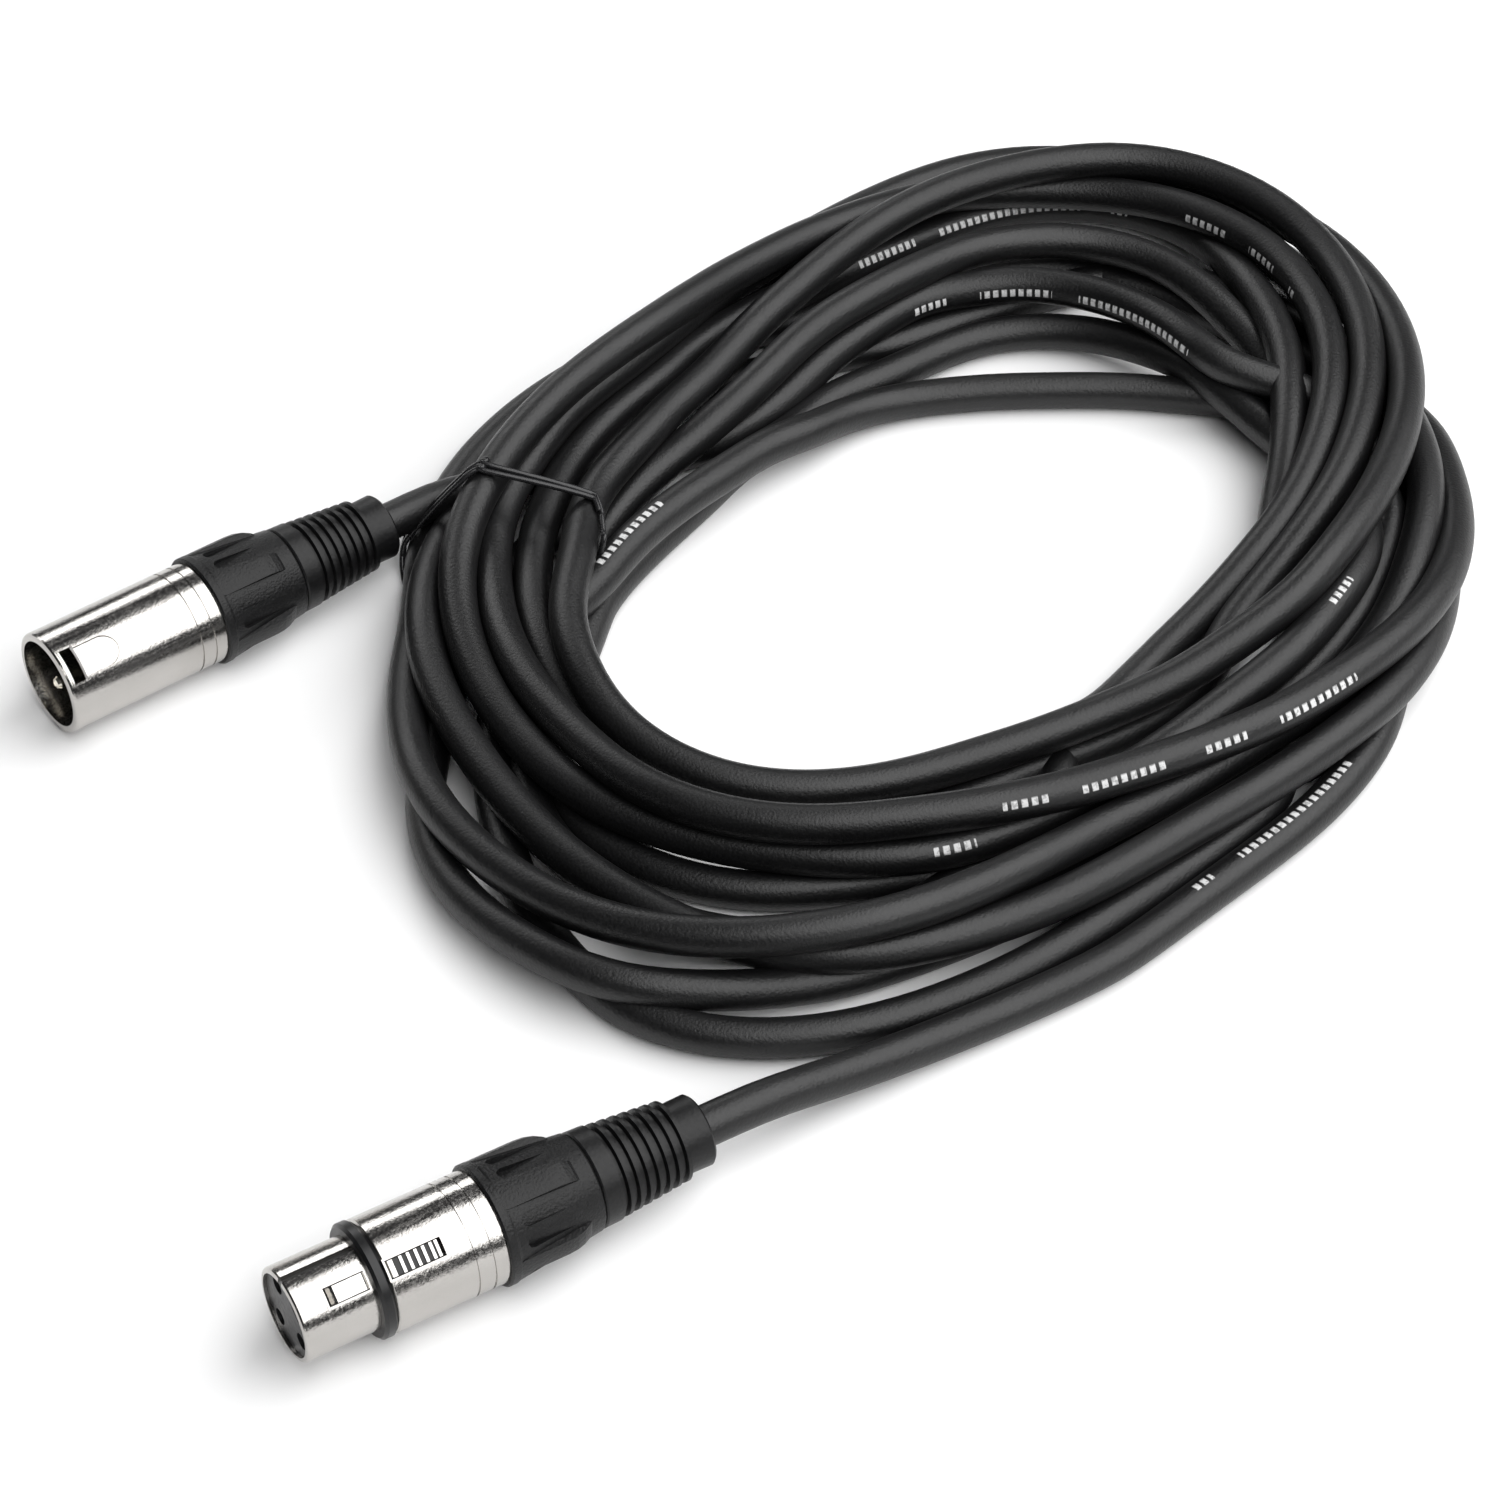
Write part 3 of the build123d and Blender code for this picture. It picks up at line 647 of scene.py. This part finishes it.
def grid_mesh(name, points, uvs=None, closed_u=False, closed_v=False, caps=False):
    """A mesh over a grid of points: rows along the path, columns round it. Each quad joins a
    column to the next one and a row to the next, the last to the first when closed. The map,
    if any, has one place for each point."""
    rows, columns = points.shape[:2]
    index = np.arange(rows * columns).reshape(rows, columns)
    if closed_u:
        index = np.concatenate([index, index[:, :1]], axis=1)
    if closed_v:
        index = np.concatenate([index, index[:1]], axis=0)
    quads = np.stack([index[:-1, :-1], index[:-1, 1:], index[1:, 1:], index[1:, :-1]], -1)
    faces = quads.reshape(-1, 4).tolist()
    if caps:
        faces.append(index[0, :columns][::-1].tolist())
        faces.append(index[-1, :columns].tolist())
    mesh = bpy.data.meshes.new(name)
    mesh.from_pydata(points.reshape(-1, 3), [], faces)
    if uvs is not None:
        layer = mesh.uv_layers.new(name="UVMap")
        corner = np.zeros(len(mesh.loops), int)
        mesh.loops.foreach_get("vertex_index", corner)
        layer.data.foreach_set("uv", uvs.reshape(-1, 2)[corner].astype(np.float32).reshape(-1))
    mesh.polygons.foreach_set("use_smooth", np.ones(len(mesh.polygons), bool))
    mesh.update()
    return mesh


def spline_points(points, resolution):
    """Points read from a NURBS spline through those control points, in metres."""
    curve = bpy.data.curves.new("route", "CURVE")
    curve.dimensions = "3D"
    curve.resolution_u = resolution
    spline = curve.splines.new("NURBS")
    spline.points.add(len(points) - 1)
    flat = np.ones((len(points), 4))
    flat[:, :3] = points
    spline.points.foreach_set("co", flat.reshape(-1))
    spline.order_u = 3
    spline.use_endpoint_u = True
    carrier = bpy.data.objects.new("route", curve)
    mesh = bpy.data.meshes.new_from_object(carrier)
    found = np.zeros(len(mesh.vertices) * 3)
    mesh.vertices.foreach_get("co", found)
    bpy.data.objects.remove(carrier)
    bpy.data.curves.remove(curve)
    bpy.data.meshes.remove(mesh)
    return found.reshape(-1, 3)


def settled_turns(cable):
    """The turns' radii and heights, in millimetres, after they have settled on each other.

    Each turn starts at the radius of its table and in its layer. Then, round by round, every
    turn sinks a little, two turns closer than one diameter are pushed straight apart, a turn
    in sight is drawn back to the radius at which it is sighted on its table and a buried one
    hardly, and each point is eased towards the mean of its neighbours along the cable."""
    angles = FIRST_ANGLE + ANGLE_STEP * np.arange(360 // ANGLE_STEP)
    turns = len(TURN_RADII)
    shape = (turns, len(angles))
    radius, free, layer = np.full(shape, np.nan), np.zeros(shape), np.zeros(shape)
    for i, row in enumerate(TURN_RADII):
        known = list(row) + ([TURN_RADII[i + 1][0]] if i + 1 < turns else [])
        at = FIRST_ANGLE + TABLE_STEP * np.arange(len(known))
        radius[i] = np.interp(angles, at, known, right=np.nan)
        for low, high in BURIED[i]:
            free[i][(angles >= low) & (angles <= high)] = 1
        layer[i] = np.interp(angles, *np.transpose(LAYERS[i]))
    present = ~np.isnan(radius)
    count = int(present.sum())

    def eased(values, times=1):
        """Each value replaced by a quarter of each neighbour and half of itself, in a row."""
        chain = values.reshape(-1)[:count].copy()
        for _ in range(times):
            chain[1:-1] = (chain[:-2] + 2 * chain[1:-1] + chain[2:]) / 4
        whole = np.full(values.size, np.nan)
        whole[:count] = chain
        return whole.reshape(shape)

    def by_sight(pair):
        """The pair's first number for a turn in sight, its second for a buried one."""
        return pair[0] * (1 - free) + pair[1] * free

    radius, free = eased(radius, TABLE_EASINGS), eased(free, TABLE_EASINGS)
    slope = np.gradient(radius.reshape(-1), radians(ANGLE_STEP)).reshape(shape)
    slope[-1][count - (turns - 1) * len(angles) - 1:] = 0
    ahead = np.stack([np.cos(np.radians(angles)), np.sin(np.radians(angles))])
    middle, across = cable.middle_height / MM, cable.diameter / MM
    height = across / 2 + cable.layer_height / MM * layer
    height[~present] = np.nan
    floor = np.full(shape, across / 2)
    floor[-1] += LEAD_CLIMB * np.maximum(0, angles - LEAD_ANGLE)

    def leaning(place, height):
        """The radius a turn should have so that, sighted from the viewpoint onto the middle
        height, it falls on its table: the sighted point slides towards the viewpoint by the
        height it lacks, and the table is read at the angle where that point then lies."""
        part = (middle - height) / (SIGHTED_FROM[2] - height)
        x = place * ahead[0] * (1 - part) + SIGHTED_FROM[0] * part
        y = place * ahead[1] * (1 - part) + SIGHTED_FROM[1] * part
        shift = np.arctan2(y * ahead[0] - x * ahead[1], x * ahead[0] + y * ahead[1])
        return place + radius + slope * shift - np.hypot(x, y)

    place = radius
    for _ in range(FIRST_LEANINGS):
        place = leaning(place, height)
    slide, draw_back, ease = by_sight(SLIDE), by_sight(DRAW_BACK), by_sight(EASE)
    one, other = np.triu_indices(turns, 1)
    for _ in range(cable.settle_rounds):
        height = height - SINK
        for _ in range(PUSHES):
            gap_r, gap_z = place[one] - place[other], height[one] - height[other]
            gap = np.hypot(gap_r, gap_z) + 1e-6
            unit_r, unit_z = gap_r / gap, gap_z / gap
            depth = np.nan_to_num(np.where(gap < across, across - gap, 0))
            give = (slide[one] + slide[other]) * unit_r**2 + 2 * unit_z**2
            push = np.nan_to_num(depth / give * PUSH_SHARE)
            move_r, move_z = np.zeros(shape), np.zeros(shape)
            np.add.at(move_r, one, np.nan_to_num(push * slide[one] * unit_r))
            np.add.at(move_r, other, -np.nan_to_num(push * slide[other] * unit_r))
            np.add.at(move_z, one, np.nan_to_num(push * unit_z))
            np.add.at(move_z, other, -np.nan_to_num(push * unit_z))
            place = place + move_r
            height = np.maximum(height + move_z, floor)
        wanted = leaning(place, height)
        place = place + draw_back * (wanted - place)
        height = np.maximum(eased(height, HEIGHT_EASINGS), floor)
        place = place + ease * (eased(place) - place)
    return angles, place, height


def cable_route(cable):
    """Control points of the whole cable in metres, from the male plug to the female one, and
    the angle of each through all the turns. A point of a turn lies at its radius from the
    coil's middle, at its angle, at its height."""
    angles, place, height = settled_turns(cable)
    turn = np.radians(angles + COIL_ZERO)[None, :]
    points = np.stack([COIL_MIDDLE[0] + place * np.cos(turn),
                       COIL_MIDDLE[1] + place * np.sin(turn), height], -1).reshape(-1, 3) * MM
    last = (len(TURN_RADII) - 1) * len(angles) + LAST_KEPT
    coil = points[FIRST_KEPT:last]
    chain = (FIRST_ANGLE + ANGLE_STEP * np.arange(FIRST_KEPT, last))[::-1]
    chain = np.pad(chain.astype(float), (len(MALE_ROUTE), len(FEMALE_ROUTE)),
                   constant_values=((OFF_COIL, -OFF_COIL),))
    male, female = np.array(MALE_ROUTE), np.array(FEMALE_ROUTE)[::-1]
    return np.concatenate([male, coil[::-1], female]), chain


def printed_line(chain, rows, sides, radius):
    """How far each point of the jacket lies from the printed line, along the surface: radius
    times the angle between them, and half the way round where no line is printed. A turn's
    angle goes on through its number, so that each stretch of cable has its own."""
    at = np.interp(np.linspace(0, 1, rows), np.linspace(0, 1, len(chain)), chain)
    line = np.full(rows, np.nan)
    for turn, low, high, first, last in PRINTED:
        low, high = low + 360 * (turn - 1), high + 360 * (turn - 1)
        inside = (at >= low) & (at <= high)
        line[inside] = np.radians(first + (last - first) * (at[inside] - low) / (high - low))
    around = np.linspace(0, 2 * pi, sides, endpoint=False)
    apart = np.abs((around[None, :] - line[:, None] + pi) % (2 * pi) - pi)
    return np.where(np.isnan(apart), pi, apart) * radius


def path_frame(path):
    """Unit vectors level across a path and up from it. Across is the path's direction crossed
    with the vertical, so a tube carried along it never twists."""
    along = np.gradient(path, axis=0)
    along /= np.linalg.norm(along, axis=1, keepdims=True)
    across = np.cross(along, (0.0, 0.0, 1.0))
    across /= np.linalg.norm(across, axis=1, keepdims=True)
    return across, np.cross(across, along)


def carried_tube(path, radius, sides):
    """Rings of a tube: at each point of the path, a circle of that radius in the plane of the
    level and upward vectors, counted from the top towards the level one."""
    across, up = path_frame(path)
    turn = np.linspace(0, 2 * pi, sides, endpoint=False)[None, :, None]
    return path[:, None] + radius * (np.sin(turn) * across[:, None]
                                     + np.cos(turn) * up[:, None])


def join_meshes(name, *meshes):
    """One mesh of those meshes, its faces turned outwards."""
    whole = bmesh.new()
    for mesh in meshes:
        whole.from_mesh(mesh)
        bpy.data.meshes.remove(mesh)
    bmesh.ops.recalc_face_normals(whole, faces=whole.faces)
    joined = bpy.data.meshes.new(name)
    whole.to_mesh(joined)
    whole.free()
    joined.polygons.foreach_set("use_smooth", np.ones(len(joined.polygons), bool))
    return joined


def lengths_along(path):
    """Distance from the path's start to each of its points."""
    return np.concatenate([[0.0], np.cumsum(np.linalg.norm(np.diff(path, axis=0), axis=1))])


def new_piece(name, mesh, body, material):
    """An object of that mesh, riding on a body, with its material."""
    piece = bpy.data.objects.new(name, mesh)
    bpy.context.scene.collection.objects.link(piece)
    paint(piece, material)
    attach(piece, body)
    return piece


# ---------------------------------------------------------------------------------------
# Operators
# ---------------------------------------------------------------------------------------


class XLRCOIL_OT_materials(Operator):
    """Build the shader groups and one procedural material for each finish"""

    bl_idname = "xlrcoil.materials"
    bl_label = "Finishes"

    def execute(self, context):
        finish = context.scene.coil_finish
        grain, plating = group_skin_grain(), group_plating()
        jacket_material("Cable Jacket", grain, finish.jacket, finish.print_ink)
        latch_material("Latch Metal", plating, LATCH_COLOUR)
        for make, group, rows in ((skin_material, grain, SKINS),
                                  (metal_material, plating, METALS)):
            for name, colour, *numbers in rows:
                colour = getattr(finish, colour) if isinstance(colour, str) else colour
                make(name, group, colour, *numbers)
        return {"FINISHED"}


class XLRCOIL_OT_cable(Operator):
    """Lay the cable through its settled turns, from boot to boot"""

    bl_idname = "xlrcoil.cable"
    bl_label = "Cable"

    def execute(self, context):
        cable = context.scene.coil_cable
        route, chain = cable_route(cable)
        path = spline_points(route, ROUTE_STEPS)
        radius = cable.diameter / 2
        rings = carried_tube(path, radius, cable.sides)
        run = lengths_along(path)
        apart = printed_line(chain, len(path), cable.sides, radius)
        marks = np.stack([apart, np.broadcast_to(run[:, None], apart.shape)], -1)
        mesh = grid_mesh("cable", rings, marks, closed_u=True, caps=True)
        piece = new_piece("microphone_cable", mesh, "cable", bpy.data.materials["Cable Jacket"])
        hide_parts("male_lead", "cable_coil", "female_lead")
        return {"FINISHED"}


class XLRCOIL_OT_tie(Operator):
    """Tie the coil with a thin cord that hugs its strands"""

    bl_idname = "xlrcoil.tie"
    bl_label = "Tie"

    def execute(self, context):
        cable, tie = context.scene.coil_cable, context.scene.coil_tie
        _, place, height = settled_turns(cable)
        tied = [i for i in range(len(place) - 1) if i + 1 not in UNTIED_TURNS]
        place, height = place[tied], height[tied]
        reach = (cable.diameter + tie.thickness) / 2 + TIE_CLEARANCE
        thick = tie.thickness / 2

        def hull(turned):
            """Points of the loop: in each direction it stands off the strand that reaches
            furthest that way, and how that distance changes gives the place along it."""
            facing = np.radians(np.arange(0, 360, TIE_STEP))
            at = np.interp((np.degrees(facing) + 90) % 360 - 90, *np.transpose(TIE_ANGLES))
            at = at + turned
            column = (at + 360 - FIRST_ANGLE) / ANGLE_STEP
            low, part = column.astype(int), column % 1
            across = (place[:, low] * (1 - part) + place[:, low + 1] * part) * MM
            above = (height[:, low] * (1 - part) + height[:, low + 1] * part) * MM
            far = (across * np.cos(facing) + above * np.sin(facing)).max(axis=0) + reach
            for _ in range(TIE_EASINGS):
                far = (np.roll(far, 1) + 2 * far + np.roll(far, -1)) / 4
            bend = (np.roll(far, -1) - np.roll(far, 1)) / (2 * radians(TIE_STEP))
            out = far * np.cos(facing) - bend * np.sin(facing)
            rise = np.maximum(far * np.sin(facing) + bend * np.cos(facing), thick)
            turn = np.radians(at + COIL_ZERO)
            return np.stack([COIL_MIDDLE[0] * MM + out * np.cos(turn),
                             COIL_MIDDLE[1] * MM + out * np.sin(turn), rise], -1), facing

        def tube(path, closed):
            """Rings of the cord along the path, which is a closed loop or an open strand."""
            ahead = np.roll(path, -1, axis=0) if closed else np.vstack([path[1:], path[-1:]])
            behind = np.roll(path, 1, axis=0) if closed else np.vstack([path[:1], path[:-1]])
            along = ahead - behind
            along /= np.linalg.norm(along, axis=1, keepdims=True)
            side = np.radians(np.mean([angle for _, angle in TIE_ANGLES]) + COIL_ZERO + 90)
            level = np.array([np.cos(side), np.sin(side), 0.0])
            level = level - (along @ level)[:, None] * along
            level /= np.linalg.norm(level, axis=1, keepdims=True)
            up = np.cross(level, along)
            turn = np.linspace(0, 2 * pi, TIE_SIDES, endpoint=False)[None, :, None]
            return path[:, None] + thick * (np.sin(turn) * level[:, None]
                                            + np.cos(turn) * up[:, None])

        loop, facing = hull(0.0)
        mean_radius = float(place.mean()) * MM
        beside, _ = hull(np.degrees(tie.spacing / mean_radius))
        signed = (np.degrees(facing) + 90) % 360 - 90
        order = np.argsort(signed)
        order = order[(signed[order] >= TIE_DOUBLED[0]) & (signed[order] <= TIE_DOUBLED[1])]
        rings, second = tube(loop, True), tube(beside[order], False)
        mesh = join_meshes("coil_tie", grid_mesh("loop", rings, closed_u=True, closed_v=True),
                           grid_mesh("second", second, closed_u=True, caps=True))
        piece = new_piece("elastic_tie", mesh, "cable", bpy.data.materials["Tie Cord"])
        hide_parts("coil_tie")
        return {"FINISHED"}


class XLRCOIL_OT_plugs(Operator):
    """Give every piece of both plugs its finish"""

    bl_idname = "xlrcoil.plugs"
    bl_label = "Plugs"

    def execute(self, context):
        for name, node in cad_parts.items():
            best = max((key for key in PIECE_FINISHES if key in name), key=len, default=None)
            if best is None:
                raise RuntimeError(f"no finish for {name}")
            paint(node, bpy.data.materials[PIECE_FINISHES[best]])
        return {"FINISHED"}


class XLRCOIL_OT_stage(Operator):
    """Set the floor, the softbox, the surroundings and the camera"""

    bl_idname = "xlrcoil.stage"
    bl_label = "Stage"

    def execute(self, context):
        stage = context.scene.coil_stage
        half = stage.floor_size / 2
        corners = np.array([[[-half, -half, 0.0], [half, -half, 0.0]],
                            [[-half, half, 0.0], [half, half, 0.0]]])
        floor = bpy.data.objects.new("floor", grid_mesh("floor", corners))
        context.scene.collection.objects.link(floor)
        material, _, shader = principled("Floor Paper")
        shader.inputs["Base Color"].default_value = (0.93, 0.93, 0.93, 1)
        shader.inputs["Roughness"].default_value = 0.9
        shader.inputs["Specular IOR Level"].default_value = 0.1
        paint(floor, material)
        self.softbox("key", KEY_PLACE, KEY_SIZE, stage.key_power)
        self.softbox("back", BACK_PLACE, BACK_SIZE, stage.key_power * BACK_SHARE)
        world = bpy.data.worlds.new("studio")
        context.scene.world = world
        world.use_nodes = True
        background = world.node_tree.nodes["Background"]
        background.inputs["Color"].default_value = (0.95, 0.96, 1.0, 1)
        background.inputs["Strength"].default_value = stage.surroundings
        data = bpy.data.cameras.new("camera")
        data.lens = stage.lens
        data.sensor_width = 36.0
        data.clip_start = 0.01
        camera = bpy.data.objects.new("camera", data)
        context.scene.collection.objects.link(camera)
        camera.location = CAMERA_PLACE
        aim = Vector(CAMERA_AIM) - camera.location
        camera.rotation_euler = aim.to_track_quat("-Z", "Y").to_euler()
        context.scene.camera = camera
        context.scene.view_settings.view_transform = "Standard"
        return {"FINISHED"}

    @staticmethod
    def softbox(name, place, size, power):
        """A rectangular area light at that place, facing the coil."""
        data = bpy.data.lights.new(name, "AREA")
        data.shape = "RECTANGLE"
        data.size, data.size_y = size
        data.energy = power
        lamp = bpy.data.objects.new(name, data)
        bpy.context.scene.collection.objects.link(lamp)
        lamp.location = place
        lamp.rotation_euler = (-Vector(place)).to_track_quat("-Z", "Y").to_euler()


class XLRCOIL_PT_panel(Panel):
    """Sidebar panel with every step in order"""

    bl_idname = "XLRCOIL_PT_panel"
    bl_label = "Cable Coil"
    bl_space_type = "VIEW_3D"
    bl_region_type = "UI"
    bl_category = "Cable Coil"

    def draw(self, context):
        for step in STEPS:
            self.layout.operator(step.bl_idname)
        for group in SETTINGS:
            settings = getattr(context.scene, group)
            box = self.layout.box()
            for name in settings.__annotations__:
                box.prop(settings, name)


STEPS = (XLRCOIL_OT_materials, XLRCOIL_OT_plugs, XLRCOIL_OT_cable, XLRCOIL_OT_tie,
         XLRCOIL_OT_stage)
SETTINGS = {
    "coil_cable": CoilCableSettings,
    "coil_tie": CoilTieSettings,
    "coil_finish": CoilFinishSettings,
    "coil_stage": CoilStageSettings,
}


def register():
    for name, kind in SETTINGS.items():
        bpy.utils.register_class(kind)
        setattr(bpy.types.Scene, name, PointerProperty(type=kind))
    for kind in (*STEPS, XLRCOIL_PT_panel):
        bpy.utils.register_class(kind)


def unregister():
    for kind in (XLRCOIL_PT_panel, *reversed(STEPS)):
        bpy.utils.unregister_class(kind)
    for name, kind in reversed(list(SETTINGS.items())):
        delattr(bpy.types.Scene, name)
        bpy.utils.unregister_class(kind)


def main():
    register()
    for step in STEPS:
        group, name = step.bl_idname.split(".")
        if getattr(getattr(bpy.ops, group), name)() != {"FINISHED"}:
            raise RuntimeError(f"{step.bl_label} didn't finish")


if __name__ == "__main__":
    main()
